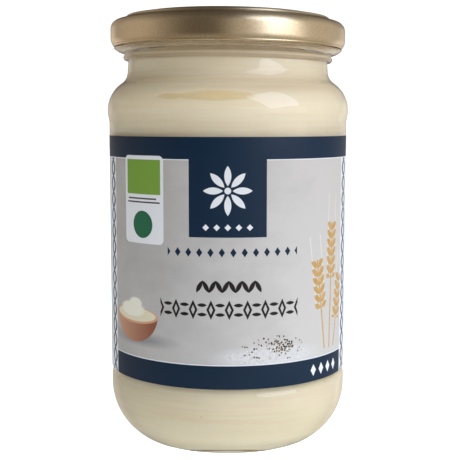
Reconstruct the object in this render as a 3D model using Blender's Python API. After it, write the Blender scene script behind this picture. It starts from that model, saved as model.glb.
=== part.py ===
"""Grocery jar of mayonnaise: a clear glass jar with a twist-off lid, a wrap-round paper label and its filling.

The jar stands on z = 0 with its axis on Z, and the middle of its label faces -Y. Sizes are in millimetres
here and become metres where a mesh is made.
"""
import math

import bmesh
import bpy
from mathutils import Vector

MM = 0.001
FACETS = 48  # sides of every turned piece, all with the same phase so that they nest
GAP = 0.3  # air between two pieces that touch in the real jar
CHORD_ERROR = 0.045  # how far a straight piece of a rounded corner may stray from its arc
SAME_PLACE = 0.0001
SHARP_DEGREES = 30  # edges that bend more than this are shaded sharp

# Outside of the glass
PUSH_UP = 1.6  # how far the middle of the base is raised off the table
PUSH_UP_RIM = 1.28  # how far it is raised where its slope eases
PUSH_UP_RIM_RADIUS = 20.2
BEARING_INSIDE = 24.2  # inner edge of the ring that the jar stands on
BEARING_RADIUS = 26.8
HEEL_RADIUS = 35.4
HEEL_CORNER_HEIGHT = 5.45
HEEL_ROUNDING = 18.3
RIM_HEIGHT = 19.3  # edge under the label, where the glass steps in for it
RIM_STEP_HEIGHT = 19.9
RIM_ROUNDING = 0.5
WAIST_RADIUS = 35.2  # between that edge and the label
BODY_RADIUS = 35.3  # above the label
PANEL_TOP = 93.7
SHOULDER_LOW = 96.0
SLOPE_ROUNDING = 2.0
SHOULDER_RADIUS = 35.75
SHOULDER_CORNER = 102.1
SHOULDER_ROUNDING = 9.4
NECK_RADIUS = 29.75
NECK_CORNER = 106.1
NECK_ROUNDING = 4.25

# Small ring on the neck
RING_FOOT_HEIGHT = 111.2
RING_FOOT_ROUNDING = 0.3
RING_LIP_RADIUS = 30.7
RING_LIP_HEIGHT = 111.45
RING_RADIUS = 31.1
RING_HEIGHT = 112.2

# Wide bead close under the lid
BEAD_FOOT_RADIUS = 30.4
BEAD_FOOT_HEIGHT = 113.15
BEAD_FLARE_RADIUS = 32.55
BEAD_FLARE_HEIGHT = 113.9
BEAD_FLARE_ROUNDING = 4.0
BEAD_RADIUS = 33.85
BEAD_EDGE_HEIGHT = 114.9
BEAD_TOP_RADIUS = 33.55
BEAD_TOP = 115.0

# Part of the neck that the lid covers
FINISH_RADIUS = 30.5
GLASS_TOP = 123.0
GLASS_TOP_ROUNDING = 1.2

# Inside of the glass
BORE_RADIUS = 27.3
BORE_TOP_ROUNDING = 0.9
BORE_CORNER = 105.5
BORE_ROUNDING = 5.75
WALL_RADIUS = 33.15
WALL_TOP_CORNER = 100.2
WALL_TOP_ROUNDING = 7.1
FLOOR_EDGE_HEIGHT = 4.2
FLOOR_ROUNDING = 13.0
FLOOR_HEIGHT = 4.9  # inside bottom at the axis

# Label
LABEL_RADIUS = 35.4
LABEL_THICKNESS = 0.2
LABEL_BOTTOM = 20.8
LABEL_TOP = 89.7
LAP_FACETS = 2  # facets of the back over which one end of the paper covers the other
LAP_THICKNESS = 0.15

# Filling
FILL_HEIGHT = 117.9
FILL_ROUNDING = 0.8

# Outside of the lid
LID_TOP = 125.0
BUTTON_RADIUS = 9.5
BUTTON_FLAT_RADIUS = 8.5
BUTTON_RISE = 0.35
PANEL_DROP = 0.8  # how far the lid's middle lies below its raised ring
PANEL_RADIUS = 24.1
CROWN_RADIUS = 24.9  # inner edge of the raised ring
CROWN_FLAT_RADIUS = 25.9
HOOP_RADIUS = 29.9
HOOP_HEIGHT = 124.3
HOOP_ROUNDING = 0.5
LEDGE_RADIUS = 30.15
LEDGE_HEIGHT = 123.7
LID_RADIUS = 34.7
LID_SHOULDER_CORNER = 122.35
LID_SHOULDER_ROUNDING = 2.7
LID_EDGE_CORNER = 116.7  # where the skirt starts to turn in to its rolled edge
LID_EDGE_ROUNDING = 2.6
CREASE_RADIUS = 34.1
CREASE_HEIGHT = 115.7
ROLL_RADIUS = 34.15
ROLL_HEIGHT = 115.55
ROLL_FOOT_RADIUS = 33.8
ROLL_FOOT_ROUNDING = 0.3
LID_BOTTOM = 115.3

# Inside of the lid
CURL_RADIUS = 32.6
CURL_TOP = 117.0
CURL_ROUNDING = 0.5
SKIRT_INSIDE = 34.1
SKIRT_INSIDE_BOTTOM = 117.5
SKIRT_INSIDE_TOP = 120.6
CORNER_INSIDE_RADIUS = 33.0
CORNER_INSIDE_HEIGHT = 121.9
LEDGE_INSIDE_RADIUS = 29.6


def rounded(corners):
    """Points of an outline through (radius, height, rounding) corners, with an arc at each rounded one."""
    points = []
    for index, (radius, height, rounding) in enumerate(corners):
        corner = Vector((radius, height))
        if not rounding:
            points.append(corner)
            continue
        before = (Vector(corners[index - 1][:2]) - corner).normalized()
        after = (Vector(corners[index + 1][:2]) - corner).normalized()
        half = before.angle(after) / 2
        centre = corner + (before + after).normalized() * (rounding / math.sin(half))
        start = corner + before * (rounding / math.tan(half)) - centre
        turn = math.copysign(math.pi - 2 * half, after.cross(before))
        steps = max(2, math.ceil(abs(turn) / (2 * math.acos(1 - CHORD_ERROR / rounding))))
        for step in range(steps + 1):
            angle = math.atan2(start.y, start.x) + turn * step / steps
            points.append(centre + rounding * Vector((math.cos(angle), math.sin(angle))))
    return points


def material(name, colour, roughness, metallic=0.0, transmission=0.0):
    """A Principled material in the piece's own colour."""
    made = bpy.data.materials.new(name)
    made.use_nodes = True
    shader = made.node_tree.nodes["Principled BSDF"]
    shader.inputs["Base Color"].default_value = (*colour, 1.0)
    shader.inputs["Roughness"].default_value = roughness
    shader.inputs["Metallic"].default_value = metallic
    shader.inputs["Transmission Weight"].default_value = transmission
    made.diffuse_color = (*colour, 1.0)
    return made


def clear_glass():
    return material("Flint glass", (0.93, 0.95, 0.94), 0.03, transmission=1.0)


def cream():
    return material("Mayonnaise", (0.77, 0.69, 0.51), 0.35)


def gold_lacquer():
    return material("Gold lacquered tinplate", (0.55, 0.43, 0.24), 0.35, metallic=1.0)


def label_paper():
    return material("Coated label paper", (0.62, 0.61, 0.59), 0.45)


def finish(mesh_in_mm, name, look):
    """Makes one smooth-shaded object in metres from a bmesh in millimetres."""
    bmesh.ops.remove_doubles(mesh_in_mm, verts=mesh_in_mm.verts, dist=SAME_PLACE)
    bmesh.ops.recalc_face_normals(mesh_in_mm, faces=mesh_in_mm.faces)
    bmesh.ops.scale(mesh_in_mm, vec=(MM, MM, MM), verts=mesh_in_mm.verts)
    mesh = bpy.data.meshes.new(name)
    mesh_in_mm.to_mesh(mesh)
    mesh_in_mm.free()
    mesh.materials.append(look)
    mesh.shade_smooth()
    mesh.set_sharp_from_angle(angle=math.radians(SHARP_DEGREES))
    made = bpy.data.objects.new(name, mesh)
    bpy.context.collection.objects.link(made)
    return made


def turned(outline, closed=False):
    """A bmesh turned about Z from (radius, height) points; closed joins the last point to the first."""
    bm = bmesh.new()
    verts = [bm.verts.new((radius, 0.0, height)) for radius, height in outline]
    ends = list(zip(verts[:-1], verts[1:]))
    if closed:
        ends.append((verts[-1], verts[0]))
    edges = [bm.edges.new(pair) for pair in ends]
    bmesh.ops.spin(
        bm,
        geom=verts + edges,
        cent=(0, 0, 0),
        axis=(0, 0, 1),
        angle=2 * math.pi,
        steps=FACETS,
        use_merge=True,
    )
    return bm


def glass_outside():
    """Outline of the glass from the middle of its base up to the top of the neck."""
    seat_radius = LABEL_RADIUS - LABEL_THICKNESS - GAP
    return [
        (0, PUSH_UP, 0),
        (PUSH_UP_RIM_RADIUS, PUSH_UP_RIM, 0),
        (BEARING_INSIDE, 0, 0),
        (BEARING_RADIUS, 0, 0),
        (HEEL_RADIUS, HEEL_CORNER_HEIGHT, HEEL_ROUNDING),
        (HEEL_RADIUS, RIM_HEIGHT, RIM_ROUNDING),
        (WAIST_RADIUS, RIM_STEP_HEIGHT, 0),
        (WAIST_RADIUS, LABEL_BOTTOM - GAP, 0),
        (seat_radius, LABEL_BOTTOM - GAP, 0),
        (seat_radius, LABEL_TOP + GAP, 0),
        (BODY_RADIUS, LABEL_TOP + GAP, 0),
        (BODY_RADIUS, PANEL_TOP, SLOPE_ROUNDING),
        (SHOULDER_RADIUS, SHOULDER_LOW, SLOPE_ROUNDING),
        (SHOULDER_RADIUS, SHOULDER_CORNER, SHOULDER_ROUNDING),
        (NECK_RADIUS, NECK_CORNER, NECK_ROUNDING),
        (NECK_RADIUS, RING_FOOT_HEIGHT, RING_FOOT_ROUNDING),
        (RING_LIP_RADIUS, RING_LIP_HEIGHT, 0),
        (RING_RADIUS, RING_HEIGHT, 0),
        (BEAD_FOOT_RADIUS, BEAD_FOOT_HEIGHT, 0),
        (BEAD_FLARE_RADIUS, BEAD_FLARE_HEIGHT, BEAD_FLARE_ROUNDING),
        (BEAD_RADIUS, BEAD_EDGE_HEIGHT, 0),
        (BEAD_TOP_RADIUS, BEAD_TOP, 0),
        (FINISH_RADIUS, BEAD_TOP, 0),
        (FINISH_RADIUS, GLASS_TOP, GLASS_TOP_ROUNDING),
    ]


def glass_inside():
    """Outline of the space in the glass from the top of the neck down to the middle of its floor."""
    return [
        (BORE_RADIUS, GLASS_TOP, BORE_TOP_ROUNDING),
        (BORE_RADIUS, BORE_CORNER, BORE_ROUNDING),
        (WALL_RADIUS, WALL_TOP_CORNER, WALL_TOP_ROUNDING),
        (WALL_RADIUS, FLOOR_EDGE_HEIGHT, FLOOR_ROUNDING),
        (0, FLOOR_HEIGHT, 0),
    ]


def jar():
    """The glass jar, blown in one piece, open at the top."""
    outline = rounded(glass_outside() + glass_inside())
    return finish(turned(outline), "jar", clear_glass())


def mayonnaise():
    """The filling, up to its level in the neck under the lid."""
    corners = [
        (0, FLOOR_HEIGHT + GAP, 0),
        (WALL_RADIUS - GAP, FLOOR_EDGE_HEIGHT + GAP, FLOOR_ROUNDING - GAP),
        (WALL_RADIUS - GAP, WALL_TOP_CORNER - GAP / 2, WALL_TOP_ROUNDING - GAP),
        (BORE_RADIUS - GAP, BORE_CORNER - GAP / 2, BORE_ROUNDING + GAP),
        (BORE_RADIUS - GAP, FILL_HEIGHT, FILL_ROUNDING),
        (0, FILL_HEIGHT, 0),
    ]
    return finish(turned(rounded(corners)), "mayonnaise", cream())


def lid():
    """The pressed lid: a raised ring round a lower middle with its button, a skirt and a rolled edge."""
    under = GLASS_TOP + GAP
    panel = LID_TOP - PANEL_DROP
    corners = [
        (0, panel + BUTTON_RISE, 0),
        (BUTTON_FLAT_RADIUS, panel + BUTTON_RISE, 0),
        (BUTTON_RADIUS, panel, 0),
        (PANEL_RADIUS, panel, 0),
        (CROWN_RADIUS, LID_TOP, 0),
        (CROWN_FLAT_RADIUS, LID_TOP, 0),
        (HOOP_RADIUS, HOOP_HEIGHT, HOOP_ROUNDING),
        (LEDGE_RADIUS, LEDGE_HEIGHT, 0),
        (LID_RADIUS, LID_SHOULDER_CORNER, LID_SHOULDER_ROUNDING),
        (LID_RADIUS, LID_EDGE_CORNER, LID_EDGE_ROUNDING),
        (CREASE_RADIUS, CREASE_HEIGHT, 0),
        (ROLL_RADIUS, ROLL_HEIGHT, 0),
        (ROLL_FOOT_RADIUS, LID_BOTTOM, ROLL_FOOT_ROUNDING),
        (CURL_RADIUS, LID_BOTTOM, CURL_ROUNDING),
        (CURL_RADIUS, CURL_TOP, CURL_ROUNDING),
        (SKIRT_INSIDE, SKIRT_INSIDE_BOTTOM, 0),
        (SKIRT_INSIDE, SKIRT_INSIDE_TOP, 0),
        (CORNER_INSIDE_RADIUS, CORNER_INSIDE_HEIGHT, 0),
        (LEDGE_INSIDE_RADIUS, under, 0),
        (0, under, 0),
    ]
    return finish(turned(rounded(corners)), "lid", gold_lacquer())


def label():
    """The paper label, glued round the jar, with one end lapped over the other at the back."""
    inside = LABEL_RADIUS - LABEL_THICKNESS
    outline = [
        (LABEL_RADIUS, LABEL_TOP),
        (LABEL_RADIUS, LABEL_BOTTOM),
        (inside, LABEL_BOTTOM),
        (inside, LABEL_TOP),
    ]
    bm = turned(outline, closed=True)
    bmesh.ops.remove_doubles(bm, verts=bm.verts, dist=SAME_PLACE)
    bmesh.ops.recalc_face_normals(bm, faces=bm.faces)
    reach = math.sin(math.pi / FACETS * LAP_FACETS) * LABEL_RADIUS
    lapped = []
    for face in bm.faces:
        middle = face.calc_center_median()
        outward = face.normal.xy.dot(middle.xy) > 0
        if outward and middle.y > 0 and abs(middle.x) < reach:
            lapped.append(face)
    raised = bmesh.ops.extrude_face_region(bm, geom=lapped)
    for vert in raised["geom"]:
        if isinstance(vert, bmesh.types.BMVert):
            vert.co.xy *= 1 + LAP_THICKNESS / LABEL_RADIUS
    bmesh.ops.delete(bm, geom=lapped, context="FACES")
    return finish(bm, "label", label_paper())


for old in list(bpy.data.objects):
    bpy.data.objects.remove(old, do_unlink=True)

stand = bpy.data.objects.new("mayonnaise_jar", None)
bpy.context.collection.objects.link(stand)
for piece in (jar(), mayonnaise(), lid(), label()):
    piece.parent = stand
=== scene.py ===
import math

import bmesh
import bpy
from mathutils import Matrix, Vector


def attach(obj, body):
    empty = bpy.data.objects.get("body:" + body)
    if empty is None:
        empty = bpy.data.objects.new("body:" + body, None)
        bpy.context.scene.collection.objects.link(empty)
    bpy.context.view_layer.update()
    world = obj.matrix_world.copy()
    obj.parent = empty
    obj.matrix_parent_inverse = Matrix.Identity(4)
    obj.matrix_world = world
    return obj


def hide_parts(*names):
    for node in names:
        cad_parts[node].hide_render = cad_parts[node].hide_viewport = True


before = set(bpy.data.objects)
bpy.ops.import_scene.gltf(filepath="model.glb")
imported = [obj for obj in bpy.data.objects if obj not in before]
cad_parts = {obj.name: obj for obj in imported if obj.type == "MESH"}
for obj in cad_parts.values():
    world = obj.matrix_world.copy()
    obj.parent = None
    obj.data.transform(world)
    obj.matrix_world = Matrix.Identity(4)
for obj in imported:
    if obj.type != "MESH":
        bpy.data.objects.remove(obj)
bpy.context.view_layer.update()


# The glass jar
# Flint soda-lime glass, blown in an iron mould in one piece, then fire-polished. The mould's two halves leave
# a faint seam up each side, and the ring it stands on is knurled so that hot glass doesn't stick to the belt.
MM = 0.001  # metres
SIDES = 240
ARC_ERROR = 0.004  # mm that a straight piece of an arc may stray from it
FEWEST_PIECES = 3  # of any arc
SAME_PLACE = 0.0001  # mm


def rounded(corners):
    """An outline's points in mm through (radius, height, rounding) corners, with arcs at the rounded ones."""
    points = []
    for index, (radius, height, rounding) in enumerate(corners):
        corner = Vector((radius, height))
        if not rounding:
            points.append(corner)
            continue
        before = (Vector(corners[index - 1][:2]) - corner).normalized()
        after = (Vector(corners[(index + 1) % len(corners)][:2]) - corner).normalized()
        half = before.angle(after) / 2
        centre = corner + (before + after).normalized() * (rounding / math.sin(half))
        start = corner + before * (rounding / math.tan(half)) - centre
        turn = math.copysign(math.pi - 2 * half, after.cross(before))
        steps = max(FEWEST_PIECES, math.ceil(abs(turn) / (2 * math.acos(1 - ARC_ERROR / rounding))))
        for step in range(steps + 1):
            angle = math.atan2(start.y, start.x) + turn * step / steps
            points.append(centre + rounding * Vector((math.cos(angle), math.sin(angle))))
    return points


def turned(outline, closed=False, longest=None):
    """A bmesh turned about Z from (radius, height) points, with straight pieces no longer than longest mm."""
    bm = bmesh.new()
    verts = [bm.verts.new((radius, 0.0, height)) for radius, height in outline]
    pairs = list(zip(verts[:-1], verts[1:]))
    if closed:
        pairs.append((verts[-1], verts[0]))
    edges = [bm.edges.new(pair) for pair in pairs]
    if longest:
        for edge in edges:
            cuts = math.ceil(edge.calc_length() / longest) - 1
            if cuts > 0:
                bmesh.ops.subdivide_edges(bm, edges=[edge], cuts=cuts)
    bmesh.ops.spin(
        bm,
        geom=bm.verts[:] + bm.edges[:],
        cent=(0, 0, 0),
        axis=(0, 0, 1),
        angle=2 * math.pi,
        steps=SIDES,
        use_merge=True,
    )
    bmesh.ops.remove_doubles(bm, verts=bm.verts, dist=SAME_PLACE)
    bmesh.ops.recalc_face_normals(bm, faces=bm.faces)
    return bm


# The finish set a little askew as the mould closed, so it and the lid slope down to the right.
LEAN = 0.72  # degrees
LEAN_FROM = 106.0  # mm up, where the slope begins
LEAN_WHOLE = 111.0  # mm up, where it is whole


def leaned(bm):
    """Slopes what stands above the foot of the neck down to the right."""
    for vert in bm.verts:
        share = min(1.0, max(0.0, (vert.co.z - LEAN_FROM) / (LEAN_WHOLE - LEAN_FROM)))
        vert.co.z -= share * vert.co.x * math.tan(math.radians(LEAN))
    return bm


def made(bm, name, look, sharp=40):
    """One smooth-shaded object in metres from a bmesh in mm."""
    bmesh.ops.scale(bm, vec=(MM, MM, MM), verts=bm.verts)
    mesh = bpy.data.meshes.new(name)
    bm.to_mesh(mesh)
    bm.free()
    mesh.materials.append(look)
    mesh.shade_smooth()
    mesh.set_sharp_from_angle(angle=math.radians(sharp))
    piece = bpy.data.objects.new(name, mesh)
    bpy.context.collection.objects.link(piece)
    return piece


def colour(code):
    """Linear colour from an sRGB hex code such as "#1C2F47"."""
    parts = [int(code[at : at + 2], 16) / 255 for at in (1, 3, 5)]
    linear = [part / 12.92 if part <= 0.04045 else ((part + 0.055) / 1.055) ** 2.4 for part in parts]
    return (*linear, 1.0)


def add(tree, kind, inputs=None, **settings):
    """Adds a node: settings are its properties, and inputs are values or sockets by name or place."""
    node = tree.nodes.new(kind)
    for name, value in settings.items():
        setattr(node, name, value)
    for name, value in (inputs or {}).items():
        if isinstance(value, bpy.types.NodeSocket):
            tree.links.new(value, node.inputs[name])
        else:
            node.inputs[name].default_value = value
    return node


def empty_look(name):
    """A material with an empty node tree, and that tree."""
    look = bpy.data.materials.new(name)
    look.use_nodes = True
    look.node_tree.nodes.clear()
    return look, look.node_tree


# Soda-lime glass, mould-blown and fire-polished: clear and faintly cool, and slightly wavy where it met the
# mould, in waves about 17 mm long and 3 mm tall. The finish is pressed, not blown, so it is smooth. Light
# from the lamps passes straight through, as it would through thin glass, so what the jar holds is lit.
WAVES_PER_METRE = 60.0
WAVE_FLATNESS = 6.0
WAVE_STRENGTH = 0.04
BLOWN_TO = 0.108  # metres up
PRESSED_FROM = 0.112  # metres up

glass_look, tree = empty_look("flint glass, mould-blown and fire-polished")
place = add(tree, "ShaderNodeTexCoord").outputs["Object"]
level_way = add(tree, "ShaderNodeMapping", {"Vector": place, "Scale": (1, 1, WAVE_FLATNESS)}).outputs[0]
waves = add(tree, "ShaderNodeTexNoise", {"Vector": level_way, "Scale": WAVES_PER_METRE, "Detail": 1.0})
up = add(tree, "ShaderNodeSeparateXYZ", {0: place}).outputs["Z"]
waviness = add(
    tree, "ShaderNodeMapRange", {0: up, 1: BLOWN_TO, 2: PRESSED_FROM, 3: WAVE_STRENGTH, 4: 0.0}
).outputs[0]
wavy = add(tree, "ShaderNodeBump", {"Height": waves.outputs["Fac"], "Strength": waviness, "Distance": 0.001})
glass = add(
    tree,
    "ShaderNodeBsdfPrincipled",
    {
        "Base Color": colour("#F7FAF8"),
        "Roughness": 0.02,
        "IOR": 1.52,
        "Transmission Weight": 1.0,
        "Normal": wavy.outputs["Normal"],
    },
)
through = add(tree, "ShaderNodeBsdfTransparent", {"Color": colour("#FDFEFD")})
shadow = add(tree, "ShaderNodeLightPath").outputs["Is Shadow Ray"]
mixed = add(tree, "ShaderNodeMixShader", {0: shadow, 1: glass.outputs[0], 2: through.outputs[0]})
add(tree, "ShaderNodeOutputMaterial", {"Surface": mixed.outputs[0]})

BODY_RADIUS = 35.3
PANEL_RADIUS = 35.28  # of the wall that the label covers
PANEL_BOTTOM = 20.8
PANEL_TOP = 89.7
SHOULDER_RADIUS = 35.75
BEAD_TOP = 115.0
FINISH_RADIUS = 30.5
GLASS_TOP = 123.0
BORE_RADIUS = 27.3
BORE_FOOT = 105.5
BORE_ROUNDING = 5.75
WALL_RADIUS = 33.15
WALL_TOP = 100.2
WALL_TOP_ROUNDING = 7.1
FLOOR_EDGE = 4.2
FLOOR_ROUNDING = 13.0
FLOOR_MIDDLE = 4.9
glass_outside = [
    # Base, with the ring it stands on
    (0, 1.6, 0),
    (20.2, 1.28, 4),
    (24.2, 0, 0.5),
    (26.8, 0, 0.5),
    # Heel, with the rim under the label
    (35.4, 5.45, 18.1),
    (35.35, 18.3, 1.5),
    (34.87, 19.35, 0.4),
    (34.95, 20.3, 0.3),
    # Wall and shoulder
    (PANEL_RADIUS, PANEL_BOTTOM, 0),
    (PANEL_RADIUS, PANEL_TOP, 0),
    (BODY_RADIUS, 90.0, 0),
    (BODY_RADIUS, 93.7, 2.0),
    (SHOULDER_RADIUS, 96.0, 2.0),
    (SHOULDER_RADIUS, 102.1, 9.4),
    # Neck and its ring
    (29.85, 106.1, 4.25),
    (29.75, 108.3, 2.0),
    (29.5, 111.2, 0.3),
    (30.7, 111.45, 0.2),
    (31.1, 112.2, 0.3),
    (30.4, 113.15, 0.4),
    # Bead, and the finish that the lid covers
    (32.55, 113.9, 4.0),
    (33.85, 114.85, 0.12),
    (33.5, BEAD_TOP, 0),
    (FINISH_RADIUS, BEAD_TOP, 0.4),
    (FINISH_RADIUS, GLASS_TOP, 1.2),
]
glass_inside = [
    (BORE_RADIUS, GLASS_TOP, 0.9),
    (BORE_RADIUS, BORE_FOOT, BORE_ROUNDING),
    (WALL_RADIUS, WALL_TOP, WALL_TOP_ROUNDING),
    (WALL_RADIUS, FLOOR_EDGE, FLOOR_ROUNDING),
    (0, FLOOR_MIDDLE, 0),
]
SEAM_HEIGHT = 0.05
SEAM_HALF_WIDTH = 0.5  # degrees
SEAM_BOTTOM = 1.0
SEAM_TOP = 114.0
NECK_FOOT = 104.0
BODY_OUTSIDE = 33.3  # farther out than this, a point is on the outside of the body
NECK_OUTSIDE = 29.4  # and farther out than this, on the outside of the neck
KNURL_DEPTH = 0.12
ON_THE_TABLE = 0.01
bm = turned(rounded(glass_outside + glass_inside))
for vert in bm.verts:
    radius = vert.co.xy.length
    turn = math.degrees(math.atan2(vert.co.y, vert.co.x))
    off_seam = min(abs(turn), 180 - abs(turn))
    outer = radius > BODY_OUTSIDE or vert.co.z > NECK_FOOT and radius > NECK_OUTSIDE
    if outer and off_seam < SEAM_HALF_WIDTH and SEAM_BOTTOM < vert.co.z < SEAM_TOP:
        vert.co.xy *= 1 + SEAM_HEIGHT / radius
    if vert.co.z < ON_THE_TABLE and round(turn * SIDES / 360) % 2:
        vert.co.z += KNURL_DEPTH
jar = made(leaned(bm), "glass_jar", glass_look)
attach(jar, "root")
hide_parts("jar")


# The mayonnaise
# Egg yolk beaten up with oil to a thick pale cream, pumped into the jar while soft. It clings to the glass,
# apart from two thin pockets at the shoulder where it pulled away, and a few specks of mustard show in it.
INTO_WALL = 0.1
FILL_HEIGHT = 117.9

# Emulsion of oil in egg: opaque and moist, with faint clouds where it folded over itself as it was filled,
# about 26 mm long and 4 mm tall, and fine level streaks about 1 mm apart where it was wiped along the glass.
CLOUDS_PER_METRE = 38.0
CLOUD_FLATNESS = 6.0
STREAKS_PER_METRE = 40.0
STREAK_FLATNESS = 26.0
SPECKS_PER_METRE = 125.0
SPECK_CORE = 0.016  # parts of the way from one speck to the next
SPECK_EDGE = 0.034
LUMPS_PER_METRE = 160.0
cream_look, tree = empty_look("mayonnaise, whipped and pumped in")
place = add(tree, "ShaderNodeTexCoord").outputs["Object"]
flat = add(tree, "ShaderNodeMapping", {"Vector": place, "Scale": (1, 1, CLOUD_FLATNESS)}).outputs[0]
clouds = add(tree, "ShaderNodeTexNoise", {"Vector": flat, "Scale": CLOUDS_PER_METRE, "Detail": 3.0})
wiped = add(tree, "ShaderNodeMapping", {"Vector": place, "Scale": (1, 1, STREAK_FLATNESS)}).outputs[0]
streaks = add(tree, "ShaderNodeTexNoise", {"Vector": wiped, "Scale": STREAKS_PER_METRE, "Detail": 2.0})
share = add(tree, "ShaderNodeMix", {0: 0.6, 2: clouds.outputs["Fac"], 3: streaks.outputs["Fac"]}).outputs[0]
spread = add(tree, "ShaderNodeMapRange", {0: share, 1: 0.32, 2: 0.68}).outputs[0]
tone = add(tree, "ShaderNodeMix", {0: spread, 6: colour("#F5DEB8"), 7: colour("#FAE8C6")}, data_type="RGBA")
# At the brim, under the lid, it is painted a little darker: painted shade cast by the lid.
UNSHADED_TO = 0.1105  # metres up
FULL_SHADE_FROM = 0.1135  # metres up
level = add(tree, "ShaderNodeSeparateXYZ", {0: place}).outputs["Z"]
lid_shade_share = add(tree, "ShaderNodeMapRange", {0: level, 1: UNSHADED_TO, 2: FULL_SHADE_FROM}).outputs[0]
lid_shaded_brim = add(tree, "ShaderNodeMix", {0: lid_shade_share, 6: tone.outputs[2], 7: colour("#D2B085")}, data_type="RGBA")
specks = add(tree, "ShaderNodeTexVoronoi", {"Vector": place, "Scale": SPECKS_PER_METRE})
far = add(tree, "ShaderNodeMapRange", {0: specks.outputs["Distance"], 1: SPECK_CORE, 2: SPECK_EDGE})
spotted = add(
    tree, "ShaderNodeMix", {0: far.outputs[0], 6: colour("#6E5A38"), 7: lid_shaded_brim.outputs[2]}, data_type="RGBA"
)
# In the two pockets the cream is a deeper yellow: painted shade of the hollow where it stands off the glass.
pocket = add(tree, "ShaderNodeAttribute", attribute_name="pocket").outputs["Fac"]
pocket_painted_shade = add(tree, "ShaderNodeMix", {0: pocket, 6: spotted.outputs[2], 7: colour("#FADAA4")}, data_type="RGBA")
# Under the foot a fine brown line is painted shade where the glass turns from the heel into the base, and the
# floor inside it is painted paler, a painted glow of the clear base.
FOOT_LINE = 0.0153  # metres from the middle
LINE_CORE = 0.0003  # metres either side of it
LINE_EDGE = 0.001
FOOT_FROM = 0.005  # metres up
FOOT_TO = 0.006
level_out = add(tree, "ShaderNodeVectorMath", {0: place, 1: (1, 1, 0)}, operation="MULTIPLY").outputs[0]
out = add(tree, "ShaderNodeVectorMath", {0: level_out}, operation="LENGTH").outputs["Value"]
under = add(tree, "ShaderNodeMapRange", {0: level, 1: FOOT_TO, 2: FOOT_FROM}).outputs[0]
floor_share = add(
    tree, "ShaderNodeMapRange", {0: out, 1: FOOT_LINE, 2: FOOT_LINE - LINE_EDGE, 4: under}
).outputs[0]
floor = add(
    tree, "ShaderNodeMix", {0: floor_share, 6: pocket_painted_shade.outputs[2], 7: colour("#FFF4DC")}, data_type="RGBA"
)
from_line = add(tree, "ShaderNodeMath", {0: out, 1: FOOT_LINE}, operation="SUBTRACT").outputs[0]
off_line = add(tree, "ShaderNodeMath", {0: from_line}, operation="ABSOLUTE").outputs[0]
line_share = add(tree, "ShaderNodeMapRange", {0: off_line, 1: LINE_EDGE, 2: LINE_CORE, 4: under}).outputs[0]
painted_foot_line = add(
    tree, "ShaderNodeMix", {0: line_share, 6: floor.outputs[2], 7: colour("#94754A")}, data_type="RGBA"
)
lumps = add(tree, "ShaderNodeTexNoise", {"Vector": place, "Scale": LUMPS_PER_METRE, "Detail": 2.0})
lumpy = add(tree, "ShaderNodeBump", {"Height": lumps.outputs["Fac"], "Strength": 0.1, "Distance": 0.001})
cream = add(
    tree,
    "ShaderNodeBsdfPrincipled",
    {
        "Base Color": painted_foot_line.outputs[2],
        "Roughness": 0.4,
        "IOR": 1.45,
        "Subsurface Weight": 0.25,
        "Subsurface Radius": (1.0, 0.8, 0.5),
        "Subsurface Scale": 0.002,
        "Normal": lumpy.outputs["Normal"],
    },
)
add(tree, "ShaderNodeOutputMaterial", {"Surface": cream.outputs[0]})

FACET = 0.7  # mm, fine enough for the pockets' outlines
fill_corners = [
    (0, FLOOR_MIDDLE - INTO_WALL, 0),
    (WALL_RADIUS + INTO_WALL, FLOOR_EDGE - INTO_WALL, FLOOR_ROUNDING + INTO_WALL),
    (WALL_RADIUS + INTO_WALL, WALL_TOP + INTO_WALL / 2, WALL_TOP_ROUNDING + INTO_WALL),
    (BORE_RADIUS + INTO_WALL, BORE_FOOT + INTO_WALL / 2, BORE_ROUNDING - INTO_WALL),
    (BORE_RADIUS + INTO_WALL, FILL_HEIGHT, 0.8),
    (0, FILL_HEIGHT, 0),
]
# Each pocket: turn from the label's middle in degrees, height, half width along the glass, half height (mm)
POCKETS = [(-27.3, 100.25, 5.0, 0.6), (-5.8, 100.4, 11.3, 1.25)]
POCKET_DEPTH = 0.35
POCKET_STEEPNESS = 2.6  # how fast it reaches its full depth from its edge


def pocket_share(co):
    """How far inside a pocket a point of the filling lies, from 0 to 1."""
    turn = math.atan2(co.x, -co.y)
    share = 0.0
    for at, height, half_width, half_height in POCKETS:
        across = (turn - math.radians(at)) * co.xy.length / half_width
        up = (co.z - height) / half_height
        share = max(share, 1 - across * across - up * up)
    return min(1.0, share * POCKET_STEEPNESS)


bm = turned(rounded(fill_corners), longest=FACET)
share_layer = bm.verts.layers.float.new("pocket")
for vert in bm.verts:
    share = pocket_share(vert.co)
    if share > 0:
        vert[share_layer] = share
        vert.co.xy *= 1 - POCKET_DEPTH * share / vert.co.xy.length
filling = made(leaned(bm), "mayonnaise_filling", cream_look)
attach(filling, "root")
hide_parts("mayonnaise")


# The lid
# A twist-off cap pressed from tinplate 0.2 mm thick, lacquered gold before it was stamped, with its edge
# rolled inwards. A raised ring stiffens the top, and the button in the middle pops up when the jar is opened.

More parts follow.
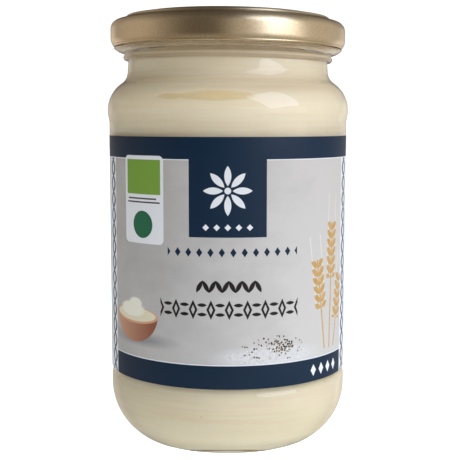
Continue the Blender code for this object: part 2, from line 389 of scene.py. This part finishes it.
# Tinplate under gold lacquer, satin from rolling, with faint clouds about 17 mm across in the lacquer. The
# rolling grain is about 0.05 mm wide, too fine to show here, so it is drawn at about 0.5 mm.
GRAINS_PER_METRE = 1900.0
LACQUER_CLOUDS_PER_METRE = 60.0
lid_look, tree = empty_look("tinplate, gold lacquered and pressed")
place = add(tree, "ShaderNodeTexCoord").outputs["Object"]
grain = add(tree, "ShaderNodeTexNoise", {"Vector": place, "Scale": GRAINS_PER_METRE, "Detail": 2.0})
fine = add(tree, "ShaderNodeBump", {"Height": grain.outputs["Fac"], "Strength": 0.09, "Distance": 0.0002})
cloudy = add(tree, "ShaderNodeTexNoise", {"Vector": place, "Scale": LACQUER_CLOUDS_PER_METRE, "Detail": 3.0})
sheen = add(tree, "ShaderNodeMapRange", {0: cloudy.outputs["Fac"], 3: 0.32, 4: 0.38})
mottled = add(tree, "ShaderNodeMix", {0: 0.6, 2: cloudy.outputs["Fac"], 3: grain.outputs["Fac"]}).outputs[0]
flecked = add(tree, "ShaderNodeMapRange", {0: mottled, 1: 0.38, 2: 0.62}).outputs[0]
gold = add(tree, "ShaderNodeMix", {0: flecked, 6: colour("#EED8AD"), 7: colour("#FBEAC7")}, data_type="RGBA")
# Drawing the sheet down over the die stretches its surface that way, so a light is spread up and down the
# skirt.
around = add(tree, "ShaderNodeTangent", direction_type="RADIAL", axis="Z")
lacquer = add(
    tree,
    "ShaderNodeBsdfPrincipled",
    {
        "Base Color": gold.outputs[2],
        "Metallic": 1.0,
        "Roughness": sheen.outputs[0],
        "Anisotropic": 0.8,
        "Anisotropic Rotation": 0.25,
        "Tangent": around.outputs[0],
        "Coat Weight": 0.6,
        "Coat Roughness": 0.22,
        "Normal": fine.outputs["Normal"],
    },
)
add(tree, "ShaderNodeOutputMaterial", {"Surface": lacquer.outputs[0]})

LID_RADIUS = 34.7
LID_TOP = 125.0
LID_MIDDLE = 124.2
BUTTON_TOP = 124.55
LID_BOTTOM = 115.3
CURL_RADIUS = 32.6  # inner side of the rolled edge
SKIRT_INSIDE = 34.1
LID_UNDERSIDE = 123.3
lid_corners = [
    # Button, middle and raised ring
    (0, BUTTON_TOP, 0),
    (8.5, BUTTON_TOP, 1.5),
    (9.5, LID_MIDDLE, 1.0),
    (24.1, LID_MIDDLE, 0.8),
    (24.9, LID_TOP, 0.6),
    (25.9, LID_TOP, 1.5),
    (29.9, 124.3, 0.5),
    (30.15, 123.7, 0.2),
    # Skirt, crease and rolled edge
    (LID_RADIUS, 122.35, 2.7),
    (LID_RADIUS, 116.7, 2.6),
    (34.3, 116.02, 0.06),
    (34.0, 115.86, 0.06),
    (34.1, 115.6, 0.08),
    (33.8, LID_BOTTOM, 0.2),
    (CURL_RADIUS, LID_BOTTOM, 0.5),
    # Inside
    (CURL_RADIUS, 117.0, 0.5),
    (SKIRT_INSIDE, 117.5, 0.3),
    (SKIRT_INSIDE, 120.6, 0.6),
    (33.0, 121.9, 0.5),
    (29.6, LID_UNDERSIDE, 0),
    (0, LID_UNDERSIDE, 0),
]
lid = made(leaned(turned(rounded(lid_corners))), "twist_off_lid", lid_look)
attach(lid, "root")
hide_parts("lid")


# The label
# Coated paper, printed in flat inks and cut to a strip, glued round the straight wall of the jar. One end is
# lapped over the other at the back. The print is worked out in mm along the paper and up the jar.
LABEL_RADIUS = 35.4
LABEL_INSIDE = 35.26  # just into the glass
LABEL_BOTTOM = PANEL_BOTTOM
LABEL_TOP = PANEL_TOP
TOP_BAND = 83.7  # the navy band lies above this
BOTTOM_BAND = 27.4  # and the other one below this
FRONT_LEFT = -40.3
FRONT_RIGHT = 41.6
STRIP_WIDTH = 7.0
LAP_WIDTH = 9.3
LAP_THICKNESS = 0.15
NAVY = colour("#04273F")
PAPER_WHITE = colour("#F1F0EC")
CHARCOAL = colour("#221C19")
INK_EDGE = 0.07  # mm over which one ink turns into the next

paper_look, tree = empty_look("coated label paper, offset printed")
place = add(tree, "ShaderNodeTexCoord").outputs["Object"]
metres = add(tree, "ShaderNodeSeparateXYZ", {0: place}).outputs
back_y = add(tree, "ShaderNodeMath", {0: metres["Y"], 1: -1.0}, operation="MULTIPLY").outputs[0]
turn = add(tree, "ShaderNodeMath", {0: metres["X"], 1: back_y}, operation="ARCTAN2").outputs[0]
along = add(tree, "ShaderNodeMath", {0: turn, 1: LABEL_RADIUS}, operation="MULTIPLY").outputs[0]
up = add(tree, "ShaderNodeMath", {0: metres["Z"], 1: 1000.0}, operation="MULTIPLY").outputs[0]
spot = add(tree, "ShaderNodeCombineXYZ", {0: along, 1: up}).outputs[0]


def past(value, edge):
    """How far a value has gone past an edge."""
    return add(tree, "ShaderNodeMath", {0: value, 1: edge}, operation="SUBTRACT").outputs[0]


def apart(value, other=0.0):
    """How far two values are apart."""
    return add(tree, "ShaderNodeMath", {0: past(value, other)}, operation="ABSOLUTE").outputs[0]


def local(where, at, size, turned_by=0.0):
    """Places on the paper as seen from a motif at (mm, mm), of that half size, turned by some degrees."""
    return add(
        tree,
        "ShaderNodeMapping",
        {
            "Vector": where,
            "Location": (at[0], at[1], 0),
            "Rotation": (0, 0, math.radians(turned_by)),
            "Scale": (size[0], size[1], 1),
        },
        vector_type="TEXTURE",
    ).outputs[0]


def within(reach, size):
    """How far inside a motif a place is, in mm, from a reach that is 1 at the motif's edge."""
    return add(tree, "ShaderNodeMath", {0: past(1.0, reach), 1: min(size)}, operation="MULTIPLY").outputs[0]


def oval(where, at, size):
    """How far inside an oval a place is, in mm."""
    length = add(tree, "ShaderNodeVectorMath", {0: local(where, at, size)}, operation="LENGTH")
    return within(length.outputs["Value"], size)


def lozenge(where, at, size):
    """How far inside a lozenge a place is, in mm."""
    folded = add(tree, "ShaderNodeVectorMath", {0: local(where, at, size)}, operation="ABSOLUTE")
    reach = add(
        tree, "ShaderNodeVectorMath", {0: folded.outputs[0], 1: (1, 1, 0)}, operation="DOT_PRODUCT"
    ).outputs["Value"]
    return within(reach, size)


def leaf(where, at, size, turned_by=0.0):
    """How far inside a pointed leaf a place is, in mm; size is half its length and half its width."""
    bow = (size[0] ** 2 - size[1] ** 2) / (2 * size[1])
    folded = add(
        tree, "ShaderNodeVectorMath", {0: local(where, at, (1, 1), turned_by)}, operation="ABSOLUTE"
    ).outputs[0]
    away = add(tree, "ShaderNodeVectorMath", {0: folded, 1: (0, -bow, 0)}, operation="DISTANCE")
    return past(bow + size[1], away.outputs["Value"])


def box(where, at, size, rounding=0.0):
    """How far inside an upright box with rounded corners a place is, in mm."""
    folded = add(tree, "ShaderNodeVectorMath", {0: local(where, at, (1, 1))}, operation="ABSOLUTE").outputs[0]
    inner = (size[0] - rounding, size[1] - rounding, 0)
    beyond = add(tree, "ShaderNodeVectorMath", {0: folded, 1: inner}, operation="SUBTRACT").outputs[0]
    outward = add(tree, "ShaderNodeVectorMath", {0: beyond, 1: (0, 0, 0)}, operation="MAXIMUM").outputs[0]
    corner = add(tree, "ShaderNodeVectorMath", {0: outward}, operation="LENGTH").outputs["Value"]
    parts = add(tree, "ShaderNodeSeparateXYZ", {0: beyond}).outputs
    nearer = add(tree, "ShaderNodeMath", {0: parts[0], 1: parts[1]}, operation="MAXIMUM").outputs[0]
    inward = add(tree, "ShaderNodeMath", {0: nearer, 1: 0.0}, operation="MINIMUM").outputs[0]
    off_inner = add(tree, "ShaderNodeMath", {0: corner, 1: inward}, operation="ADD").outputs[0]
    return past(rounding, off_inner)


def all_of(first, *others):
    """Inside every one of the shapes."""
    for other in others:
        first = add(tree, "ShaderNodeMath", {0: first, 1: other}, operation="MINIMUM").outputs[0]
    return first


def any_of(first, *others):
    """Inside at least one of the shapes."""
    for other in others:
        first = add(tree, "ShaderNodeMath", {0: first, 1: other}, operation="MAXIMUM").outputs[0]
    return first


def without(shape, hole):
    """Inside the shape and outside the hole in it."""
    return all_of(shape, past(0.0, hole))


def looped(value, step):
    """The value starting again every step, from -step/2 to step/2."""
    return add(tree, "ShaderNodeMath", {0: value, 1: step / 2, 2: -step / 2}, operation="WRAP").outputs[0]


def repeated(step, start=0.0):
    """Places on the paper with the distance along it starting again every step mm."""
    return add(tree, "ShaderNodeCombineXYZ", {0: looped(past(along, start), step), 1: up}).outputs[0]


def inked(below, ink, inside, edge=INK_EDGE):
    """The colours so far with one more ink printed where inside is above 0."""
    amount = add(tree, "ShaderNodeMapRange", {0: inside, 1: -edge / 2, 2: edge / 2}).outputs[0]
    return add(tree, "ShaderNodeMix", {0: amount, 6: below, 7: ink}, data_type="RGBA").outputs[2]


# Pale grey field, like a plastered wall above and a stone table below, in soft clouds about 18 by 12 mm. It
# is
# painted lighter towards the right: painted light from the lamp on that side.
CLOUDS_PER_MM = (0.055, 0.085, 1)
stretched = add(tree, "ShaderNodeMapping", {"Vector": spot, "Scale": CLOUDS_PER_MM}).outputs[0]
plaster = add(
    tree, "ShaderNodeTexNoise", {"Vector": stretched, "Scale": 1.0, "Detail": 6.0, "Roughness": 0.6}
)
painted_light_from_right = add(tree, "ShaderNodeMapRange", {0: along, 1: -20.0, 2: 40.0, 3: -0.15, 4: 0.8}).outputs[0]
lighter = add(tree, "ShaderNodeMath", {0: plaster.outputs["Fac"], 1: painted_light_from_right}, operation="ADD").outputs[0]
field = add(
    tree, "ShaderNodeMix", {0: lighter, 6: colour("#AEA8A0"), 7: colour("#D5CFC5")}, data_type="RGBA"
)
print_so_far = field.outputs[2]

# A terracotta bowl of cream on the left, with its soft shadow on the table
BOWL = (-30.0, 38.5)
shade = oval(spot, (BOWL[0] + 2.0, BOWL[1] - 5.6), (10.0, 1.6))
print_so_far = inked(print_so_far, colour("#96938F"), shade, edge=1.8)
under_rim = past(BOWL[1] + 1.0, up)
clay = all_of(oval(spot, (BOWL[0], BOWL[1] + 1.5), (9.4, 8.2)), under_rim)
clay_tone = add(tree, "ShaderNodeMapRange", {0: along, 1: BOWL[0] - 8, 2: BOWL[0] + 8}).outputs[0]
clay_mix = add(
    tree, "ShaderNodeMix", {0: clay_tone, 6: colour("#D09A78"), 7: colour("#94553A")}, data_type="RGBA"
)
print_so_far = inked(print_so_far, clay_mix.outputs[2], clay)
print_so_far = inked(print_so_far, colour("#D9A27C"), oval(spot, (BOWL[0], BOWL[1] + 1.0), (9.5, 2.4)))
print_so_far = inked(print_so_far, colour("#EBDDB8"), oval(spot, (BOWL[0], BOWL[1] + 1.2), (8.7, 2.0)))
swirl = any_of(
    oval(spot, (BOWL[0] - 1.0, BOWL[1] + 2.6), (5.4, 2.1)),
    oval(spot, (BOWL[0] + 0.6, BOWL[1] + 4.4), (2.8, 1.6)),
)
print_so_far = inked(print_so_far, colour("#F6EED6"), swirl, edge=0.5)

# A bunch of golden barley on the right. Each stalk has its foot (mm), its lean (degrees), and the lengths of
# its straw and its ear (mm).
STALKS = [
    ((31.5, 29.5), 8.0, 12.0, 14.0),
    ((34.0, 29.5), -2.0, 20.0, 16.0),
    ((36.5, 29.5), -11.0, 8.0, 13.0),
]
GRAIN_STEP = 2.5
STRAW_HALF_WIDTH = 0.28
EAR_REACH = 4.0
AWN_OUT = 2.1  # how far the two awns stand off the stalk
AWN_HALF_WIDTH = 0.13
AWN_RISE = 0.75  # half their height, in ears
ripe = add(tree, "ShaderNodeTexNoise", {"Vector": spot, "Scale": 0.8, "Detail": 2.0}).outputs["Fac"]
straw = add(tree, "ShaderNodeMix", {0: ripe, 6: colour("#B98A45"), 7: colour("#E3BC78")}, data_type="RGBA")
for foot, lean, stalk, ear in STALKS:
    beside = local(spot, foot, (1, 1), lean)
    parts = add(tree, "ShaderNodeSeparateXYZ", {0: beside}).outputs
    folded = apart(parts[0])
    rank = add(tree, "ShaderNodeCombineXYZ", {0: folded, 1: looped(parts[1], GRAIN_STEP)}).outputs[0]
    kernels = all_of(
        leaf(rank, (1.35, 0.1), (1.95, 0.8), 52.0),
        box(beside, (0, stalk + ear / 2), (EAR_REACH, ear / 2)),
    )
    awns = all_of(
        past(AWN_HALF_WIDTH, apart(folded, AWN_OUT)),
        box(beside, (0, stalk + ear * AWN_RISE), (EAR_REACH, ear * AWN_RISE)),
    )
    straight = box(beside, (0, (stalk + ear) / 2), (STRAW_HALF_WIDTH, (stalk + ear) / 2))
    print_so_far = inked(print_so_far, colour("#EFE6D2"), awns)
    print_so_far = inked(print_so_far, straw.outputs[2], any_of(kernels, straight))

# A pinch of seeds on the table, heaped and scattered, with salt spilt in front of them. Grains of salt are
# about 0.1 mm across, too fine to show here one by one, so a soft white lies under those that are drawn.
SALT_PER_MM = 1.9
SALT_RADIUS = 0.22  # in cells of its own pattern
SALT_GAPS = 0.4  # share of the cells that stay empty
SEEDS_PER_MM = 1.5
SEED_RADIUS = 0.42
HEAP_GAPS = 0.12
STREWN_GAPS = 0.84
spill = oval(spot, (12.0, 29.6), (13.0, 2.6))
drift = add(tree, "ShaderNodeTexNoise", {"Vector": spot, "Scale": 0.9, "Detail": 4.0}).outputs["Fac"]
drifted = add(tree, "ShaderNodeMath", {0: past(drift, 0.42), 1: 8.0}, operation="MULTIPLY").outputs[0]
dusted = all_of(spill, drifted)
print_so_far = inked(print_so_far, colour("#DEDBD5"), dusted, edge=2.2)
crumbs = add(tree, "ShaderNodeTexVoronoi", {"Vector": spot, "Scale": SALT_PER_MM}, voronoi_dimensions="2D")
crumb = past(SALT_RADIUS, crumbs.outputs["Distance"])
crumb_share = add(tree, "ShaderNodeSeparateColor", {0: crumbs.outputs["Color"]}).outputs[1]
salt = all_of(crumb, past(crumb_share, SALT_GAPS), spill)
print_so_far = inked(print_so_far, PAPER_WHITE, salt)
cells = add(tree, "ShaderNodeTexVoronoi", {"Vector": spot, "Scale": SEEDS_PER_MM}, voronoi_dimensions="2D")
seed = past(SEED_RADIUS, cells.outputs["Distance"])
kept = add(tree, "ShaderNodeSeparateColor", {0: cells.outputs["Color"]}).outputs
heap = all_of(seed, past(kept[0], HEAP_GAPS), oval(spot, (15.0, 32.4), (4.3, 1.9)))
strewn = all_of(seed, past(kept[0], STREWN_GAPS), oval(spot, (13.0, 31.8), (9.5, 3.6)))
husk = add(tree, "ShaderNodeMix", {0: kept[1], 6: colour("#26221D"), 7: colour("#8F7543")}, data_type="RGBA")
print_so_far = inked(print_so_far, husk.outputs[2], any_of(heap, strewn))

# Charcoal ornament in two rows, a short one over a long one
SHORT_ROW = 49.3
SHORT_STEP = 3.6
LONG_ROW = 42.9
LONG_STEP = 5.0
LEAF_OFF_ROW = 1.3
short_row = repeated(SHORT_STEP, 0.3)
leaves_up = any_of(
    leaf(short_row, (-SHORT_STEP / 4, SHORT_ROW), (1.9, 0.62), 62.0),
    leaf(short_row, (SHORT_STEP / 4, SHORT_ROW), (1.9, 0.62), -62.0),
)
short_end = box(spot, (0.3, SHORT_ROW), (9.0, 2.4))
print_so_far = inked(print_so_far, CHARCOAL, all_of(leaves_up, short_end))
long_row = repeated(LONG_STEP, 0.4)
links = lozenge(long_row, (0, LONG_ROW), (1.25, 2.7))
for across_row in (LONG_STEP / 2, -LONG_STEP / 2):
    for height in (LONG_ROW + LEAF_OFF_ROW, LONG_ROW - LEAF_OFF_ROW):
        links = any_of(links, leaf(long_row, (across_row, height), (1.35, 0.5)))
hollow = lozenge(long_row, (0, LONG_ROW), (0.55, 1.3))
long_end = box(spot, (0.4, LONG_ROW), (20.0, 3.2))
print_so_far = inked(print_so_far, CHARCOAL, all_of(without(links, hollow), long_end))

# Row of small navy lozenges under the panel
BEAD_ROW = 58.6
bead_row = repeated(3.1, 1.5)
beads = all_of(lozenge(bead_row, (0, BEAD_ROW), (0.85, 1.25)), box(spot, (1.5, BEAD_ROW), (18.6, 1.6)))
print_so_far = inked(print_so_far, NAVY, beads)

# Bottom band on the front, with off-white lozenges at its right end
PALE_LINE = 0.25  # width of the off-white line along each band's edge
MARK_ROW = 24.0
front = all_of(past(along, FRONT_LEFT), past(FRONT_RIGHT, along))
low_line = all_of(front, past(BOTTOM_BAND + PALE_LINE, up))
print_so_far = inked(print_so_far, PAPER_WHITE, low_line)
low_band = all_of(front, past(BOTTOM_BAND, up))
print_so_far = inked(print_so_far, NAVY, low_band)
mark_row = repeated(3.4, 30.0)
marks = all_of(lozenge(mark_row, (0, MARK_ROW), (1.1, 1.7)), box(spot, (31.7, MARK_ROW), (6.7, 2.2)))
print_so_far = inked(print_so_far, PAPER_WHITE, marks)

# White strips down both sides, each with a plait of two crossing lines
left_strip = all_of(past(FRONT_LEFT, along), past(along, FRONT_LEFT - STRIP_WIDTH))
right_strip = all_of(past(along, FRONT_RIGHT), past(FRONT_RIGHT + STRIP_WIDTH, along))
sides = any_of(left_strip, right_strip)
print_so_far = inked(print_so_far, PAPER_WHITE, sides)
PLAITS = (FRONT_LEFT - 2.6, FRONT_RIGHT + 3.0)
PLAIT_STEP = 9.2
PLAIT_SWAY = 1.5
STRAND_HALF_WIDTH = 0.6
climb = add(tree, "ShaderNodeMath", {0: up, 1: 2 * math.pi / PLAIT_STEP}, operation="MULTIPLY").outputs[0]
swing = add(tree, "ShaderNodeMath", {0: climb}, operation="SINE").outputs[0]
strands = []
for middle in PLAITS:
    for sway in (PLAIT_SWAY, -PLAIT_SWAY):
        way_up = add(tree, "ShaderNodeMath", {0: swing, 1: sway, 2: middle}, operation="MULTIPLY_ADD")
        strands.append(past(STRAND_HALF_WIDTH, apart(along, way_up.outputs[0])))
print_so_far = inked(print_so_far, colour("#44566E"), all_of(any_of(*strands), sides))

# Back of the label: a white field with a ruled box on each side of the lap
turned_away = past(apart(along), FRONT_RIGHT + STRIP_WIDTH)
print_so_far = inked(print_so_far, PAPER_WHITE, turned_away)
RULED = (84.0, 54.0)
RULE_STEP = 2.6
RULE_WIDTH = 0.18
mirrored = add(tree, "ShaderNodeCombineXYZ", {0: apart(along), 1: up}).outputs[0]
frame_outside = box(mirrored, RULED, (15.0, 22.0), 1.0)
frame_inside = box(mirrored, RULED, (14.6, 21.6), 0.7)
frame_line = without(frame_outside, frame_inside)
up_from_rule = add(tree, "ShaderNodeMath", {0: up, 1: RULE_STEP, 2: 0.0}, operation="WRAP").outputs[0]
rules = past(up_from_rule, RULE_STEP - RULE_WIDTH)
print_so_far = inked(print_so_far, NAVY, any_of(frame_line, all_of(frame_inside, rules)))

# Navy band round the top, with the panel that hangs from it. The panel has a rosette of eight petals over a
# row of lozenges.
ROSETTE = (0.0, 75.3)
PETALS = 8
PETAL_OUT = 4.0
PANEL_ROW = 65.4
top_line = past(up, TOP_BAND - PALE_LINE)
print_so_far = inked(print_so_far, PAPER_WHITE, top_line)
top_band = past(up, TOP_BAND)
panel = box(spot, (0.0, 75.0), (10.7, 12.3))
print_so_far = inked(print_so_far, NAVY, any_of(top_band, panel))
rosette = oval(spot, ROSETTE, (0.9, 0.9))
for petal in range(PETALS):
    angle = 2 * math.pi * petal / PETALS
    middle = (ROSETTE[0] + PETAL_OUT * math.cos(angle), ROSETTE[1] + PETAL_OUT * math.sin(angle))
    rosette = any_of(rosette, leaf(spot, middle, (2.7, 0.95), math.degrees(angle)))
print_so_far = inked(print_so_far, PAPER_WHITE, rosette)
panel_row = repeated(3.0)
panel_marks = all_of(lozenge(panel_row, (0, PANEL_ROW), (0.9, 0.9)), box(spot, (0, PANEL_ROW), (7.6, 1.2)))
print_so_far = inked(print_so_far, PAPER_WHITE, panel_marks)

# Pale rounded tag over the band's edge, with a green square, two thin rules and a dark green disc
TAG = -26.0
print_so_far = inked(print_so_far, PAPER_WHITE, box(spot, (TAG, 72.3), (7.6, 12.2), 1.5))
print_so_far = inked(print_so_far, colour("#7FA63A"), box(spot, (TAG, 78.6), (6.6, 4.8)))
thin_rules = any_of(box(spot, (TAG - 0.4, 72.6), (5.6, 0.22)), box(spot, (TAG, 71.6), (6.4, 0.22)))
print_so_far = inked(print_so_far, colour("#55504B"), thin_rules)
print_so_far = inked(print_so_far, colour("#1F6B46"), oval(spot, (TAG, 65.4), (3.8, 3.8)))

# Clay-coated paper, offset printed and varnished: a soft sheen, and the faint tooth of its fibres.
# Fibres are about 0.03 mm across, too fine to show here, so they are drawn at about 0.4 mm.
FIBRES_PER_MM = 2.4
fibres = add(tree, "ShaderNodeTexNoise", {"Vector": spot, "Scale": FIBRES_PER_MM, "Detail": 3.0})
tooth = add(tree, "ShaderNodeBump", {"Height": fibres.outputs["Fac"], "Strength": 0.04, "Distance": 0.0002})
paper = add(
    tree,
    "ShaderNodeBsdfPrincipled",
    {
        "Base Color": print_so_far,
        "Roughness": 0.5,
        "IOR": 1.45,
        "Specular IOR Level": 0.42,
        "Normal": tooth.outputs["Normal"],
    },
)
add(tree, "ShaderNodeOutputMaterial", {"Surface": paper.outputs[0]})

CUT_ROUNDING = 0.03
ROW = 6.0  # mm from one ring of points to the next
label_corners = [
    (LABEL_RADIUS, LABEL_TOP, CUT_ROUNDING),
    (LABEL_RADIUS, LABEL_BOTTOM, CUT_ROUNDING),
    (LABEL_INSIDE, LABEL_BOTTOM, CUT_ROUNDING),
    (LABEL_INSIDE, LABEL_TOP, CUT_ROUNDING),
]
bm = turned(rounded(label_corners), closed=True, longest=ROW)
for vert in bm.verts:
    radius = vert.co.xy.length
    outer = radius > (LABEL_INSIDE + LABEL_RADIUS) / 2
    if outer and vert.co.y > 0 and abs(vert.co.x) < LAP_WIDTH / 2:
        vert.co.xy *= 1 + LAP_THICKNESS / radius
label = made(bm, "paper_label", paper_look, sharp=60)
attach(label, "root")
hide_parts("label")


# The table and the room
# A white acrylic table lit from below, in a room of soft light. The camera sees both as plain white. A soft
# box stands at the right, turned a little, and a wide one hangs overhead.

# Cast acrylic over lamps: a matt, slightly cool glow without grain, dimmest just left of the jar.
DIMMEST_AT = (-0.045, 0, 0)
DIM_TO = 0.02  # metres from there
FULL_FROM = 0.09
DIM_GLOW = 0.76
FULL_GLOW = 1.4
table_look, tree = empty_look("white acrylic, cast and lit from below")
place = add(tree, "ShaderNodeTexCoord").outputs["Object"]
reach = add(tree, "ShaderNodeVectorMath", {0: place, 1: DIMMEST_AT}, operation="DISTANCE").outputs["Value"]
from_below = add(
    tree,
    "ShaderNodeMapRange",
    {0: reach, 1: DIM_TO, 2: FULL_FROM, 3: DIM_GLOW, 4: FULL_GLOW},
    interpolation_type="SMOOTHSTEP",
).outputs[0]
to_camera = add(tree, "ShaderNodeLightPath").outputs["Is Camera Ray"]
white = add(tree, "ShaderNodeMix", {0: to_camera, 2: from_below, 3: FULL_GLOW}).outputs[0]
sheet = add(
    tree,
    "ShaderNodeBsdfPrincipled",
    {
        "Base Color": colour("#E6E6E5"),
        "Roughness": 0.8,
        "Emission Color": colour("#DEEDFF"),
        "Emission Strength": white,
    },
)
add(tree, "ShaderNodeOutputMaterial", {"Surface": sheet.outputs[0]})


def staged(bm, name):
    """One object of the table's material that isn't part of the jar."""
    mesh = bpy.data.meshes.new(name)
    bm.to_mesh(mesh)
    bm.free()
    mesh.materials.append(table_look)
    thing = bpy.data.objects.new(name, mesh)
    bpy.context.collection.objects.link(thing)
    return thing


NEAR_HALF = 0.26  # metres
FAR_HALF = 3.0
bm = bmesh.new()
bmesh.ops.create_grid(bm, x_segments=1, y_segments=1, size=NEAR_HALF)
near_table = staged(bm, "table")
# The lid and the glass mirror the room around them, not the table under them.
near_table.visible_glossy = False

bm = bmesh.new()
bmesh.ops.create_grid(bm, x_segments=3, y_segments=3, size=FAR_HALF)
for vert in bm.verts:
    for axis in (0, 1):
        if abs(vert.co[axis]) < FAR_HALF / 2:
            vert.co[axis] = math.copysign(NEAR_HALF, vert.co[axis])
middle = [face for face in bm.faces if face.calc_center_median().length < NEAR_HALF]
bmesh.ops.delete(bm, geom=middle, context="FACES")
far_table = staged(bm, "table_far")
# The far part is only there to be seen: the table that lights the jar is the near part.
far_table.visible_glossy = False
far_table.visible_diffuse = False

# The room: even light all round, with darker and brighter patches. Each patch has the turn and height of its
# middle, the reach to which it is whole and the reach at which it ends (degrees), and its share of the light.
ROOM_LIGHT = 0.232
SEEN_LIGHT = 1.1  # just past white
PATCHES = [
    # In front: dark on the left, bright on the right
    (-25.0, 0.0, 9.0, 36.0, 0.4),
    (-25.0, 34.0, 9.0, 36.0, 0.65),
    (25.0, 0.0, 8.0, 40.0, 2.0),
    (37.0, 10.0, 5.0, 16.0, 1.5),
    (60.0, -2.0, 8.0, 24.0, 2.9),
    # Dark behind the jar
    (180.0, 12.0, 9.0, 22.0, 0.15),
    (180.0, 34.0, 12.0, 30.0, 0.15),
    # Below and overhead
    (0.0, -60.0, 20.0, 50.0, 1.1),
    (0.0, 90.0, 22.0, 52.0, 0.35),
    # Bright at both sides, and behind them where the edges of the jar and of the lid mirror the room
    (-100.0, 0.0, 14.0, 42.0, 1.85),
    (100.0, 0.0, 15.0, 50.0, 2.2),
    (-152.0, -13.0, 10.0, 24.0, 2.7),
    (152.0, -13.0, 10.0, 24.0, 2.9),
    (-152.0, 10.0, 6.0, 16.0, 1.45),
    (152.0, 10.0, 6.0, 16.0, 1.3),
]
world = bpy.data.worlds.new("room")
world.use_nodes = True
tree = world.node_tree
tree.nodes.clear()
looking = add(tree, "ShaderNodeTexCoord").outputs["Generated"]
level = ROOM_LIGHT


def way(turn, height):
    """Direction at a turn from the camera to the right and a height above the table, both in degrees."""
    turn, height = math.radians(turn), math.radians(height)
    return Vector((math.sin(turn) * math.cos(height), -math.cos(turn) * math.cos(height), math.sin(height)))


for turn, height, inner, outer, share in PATCHES:
    near = add(tree, "ShaderNodeVectorMath", {0: looking, 1: way(turn, height)}, operation="DOT_PRODUCT")
    dimmed = add(
        tree,
        "ShaderNodeMapRange",
        {
            0: near.outputs["Value"],
            1: math.cos(math.radians(outer)),
            2: math.cos(math.radians(inner)),
            3: 1.0,
            4: share,
        },
        interpolation_type="SMOOTHSTEP",
    ).outputs[0]
    level = add(tree, "ShaderNodeMath", {0: level, 1: dimmed}, operation="MULTIPLY").outputs[0]
# It is a little warmer on the left.
across = add(tree, "ShaderNodeSeparateXYZ", {0: looking}).outputs["X"]
day_share = add(tree, "ShaderNodeMapRange", {0: across, 1: -0.6, 2: 0.8}).outputs[0]
tint = add(
    tree, "ShaderNodeMix", {0: day_share, 6: colour("#FFEEDE"), 7: colour("#FFF6ED")}, data_type="RGBA"
)
lit = add(tree, "ShaderNodeBackground", {"Color": tint.outputs[2], "Strength": level})
seen = add(tree, "ShaderNodeBackground", {"Color": colour("#FFFFFF"), "Strength": SEEN_LIGHT})
to_camera = add(tree, "ShaderNodeLightPath").outputs["Is Camera Ray"]
either = add(tree, "ShaderNodeMixShader", {0: to_camera, 1: lit.outputs[0], 2: seen.outputs[0]})
add(tree, "ShaderNodeOutputWorld", {"Surface": either.outputs[0]})
bpy.context.scene.world = world


AIM = Vector((0, 0, 0.07))  # just above the jar's middle


def soft_box(name, turn, height, distance, size, power, tint, roll=0.0):
    """An area lamp at a turn from the camera to the right and a height above the table, both in degrees."""
    lamp = bpy.data.lights.new(name, "AREA")
    lamp.shape = "RECTANGLE"
    lamp.size, lamp.size_y = size
    lamp.energy = power
    lamp.color = tint
    made_lamp = bpy.data.objects.new(name, lamp)
    out = way(turn, height)
    made_lamp.location = AIM + out * distance
    aim = out.to_track_quat("Z", "Y").to_matrix().to_4x4() @ Matrix.Rotation(math.radians(roll), 4, "Z")
    made_lamp.rotation_euler = aim.to_euler()
    bpy.context.collection.objects.link(made_lamp)
    return made_lamp


soft_box(
    "key",
    turn=47.5,
    height=30.0,
    distance=0.9,
    size=(0.57, 0.7),
    power=2.68,
    tint=(0.92, 1.0, 1.26),
    roll=18.0,
)
overhead = soft_box(
    "overhead",
    turn=-60.0,
    height=76.0,
    distance=1.4,
    size=(1.2, 1.2),
    power=1.95,
    tint=(1.0, 0.96, 0.9),
)
# It lights the shoulder without a highlight of its own.
overhead.visible_glossy = False

# The camera looks down from 0.3 m away, at the height of the upper part of the label.
FOCAL_PIXELS = 1007.34
FRAME_PIXELS = 460
SHIFT_RIGHT = 2.2  # pixels
SHIFT_UP = 0.5
DISTANCE = 0.30453
EYE_HEIGHT = 0.09405
LOOKS_DOWN = 6.228  # degrees
camera_data = bpy.data.cameras.new("camera")
camera_data.sensor_width = 36.0
camera_data.lens = camera_data.sensor_width * FOCAL_PIXELS / FRAME_PIXELS
camera_data.shift_x = SHIFT_RIGHT / FRAME_PIXELS
camera_data.shift_y = SHIFT_UP / FRAME_PIXELS
camera_data.clip_start = 0.01
camera = bpy.data.objects.new("camera", camera_data)
camera.location = (0, -DISTANCE, EYE_HEIGHT)
camera.rotation_euler = (math.radians(90 - LOOKS_DOWN), 0, 0)
bpy.context.collection.objects.link(camera)
bpy.context.scene.camera = camera
bpy.context.scene.view_settings.view_transform = "Standard"
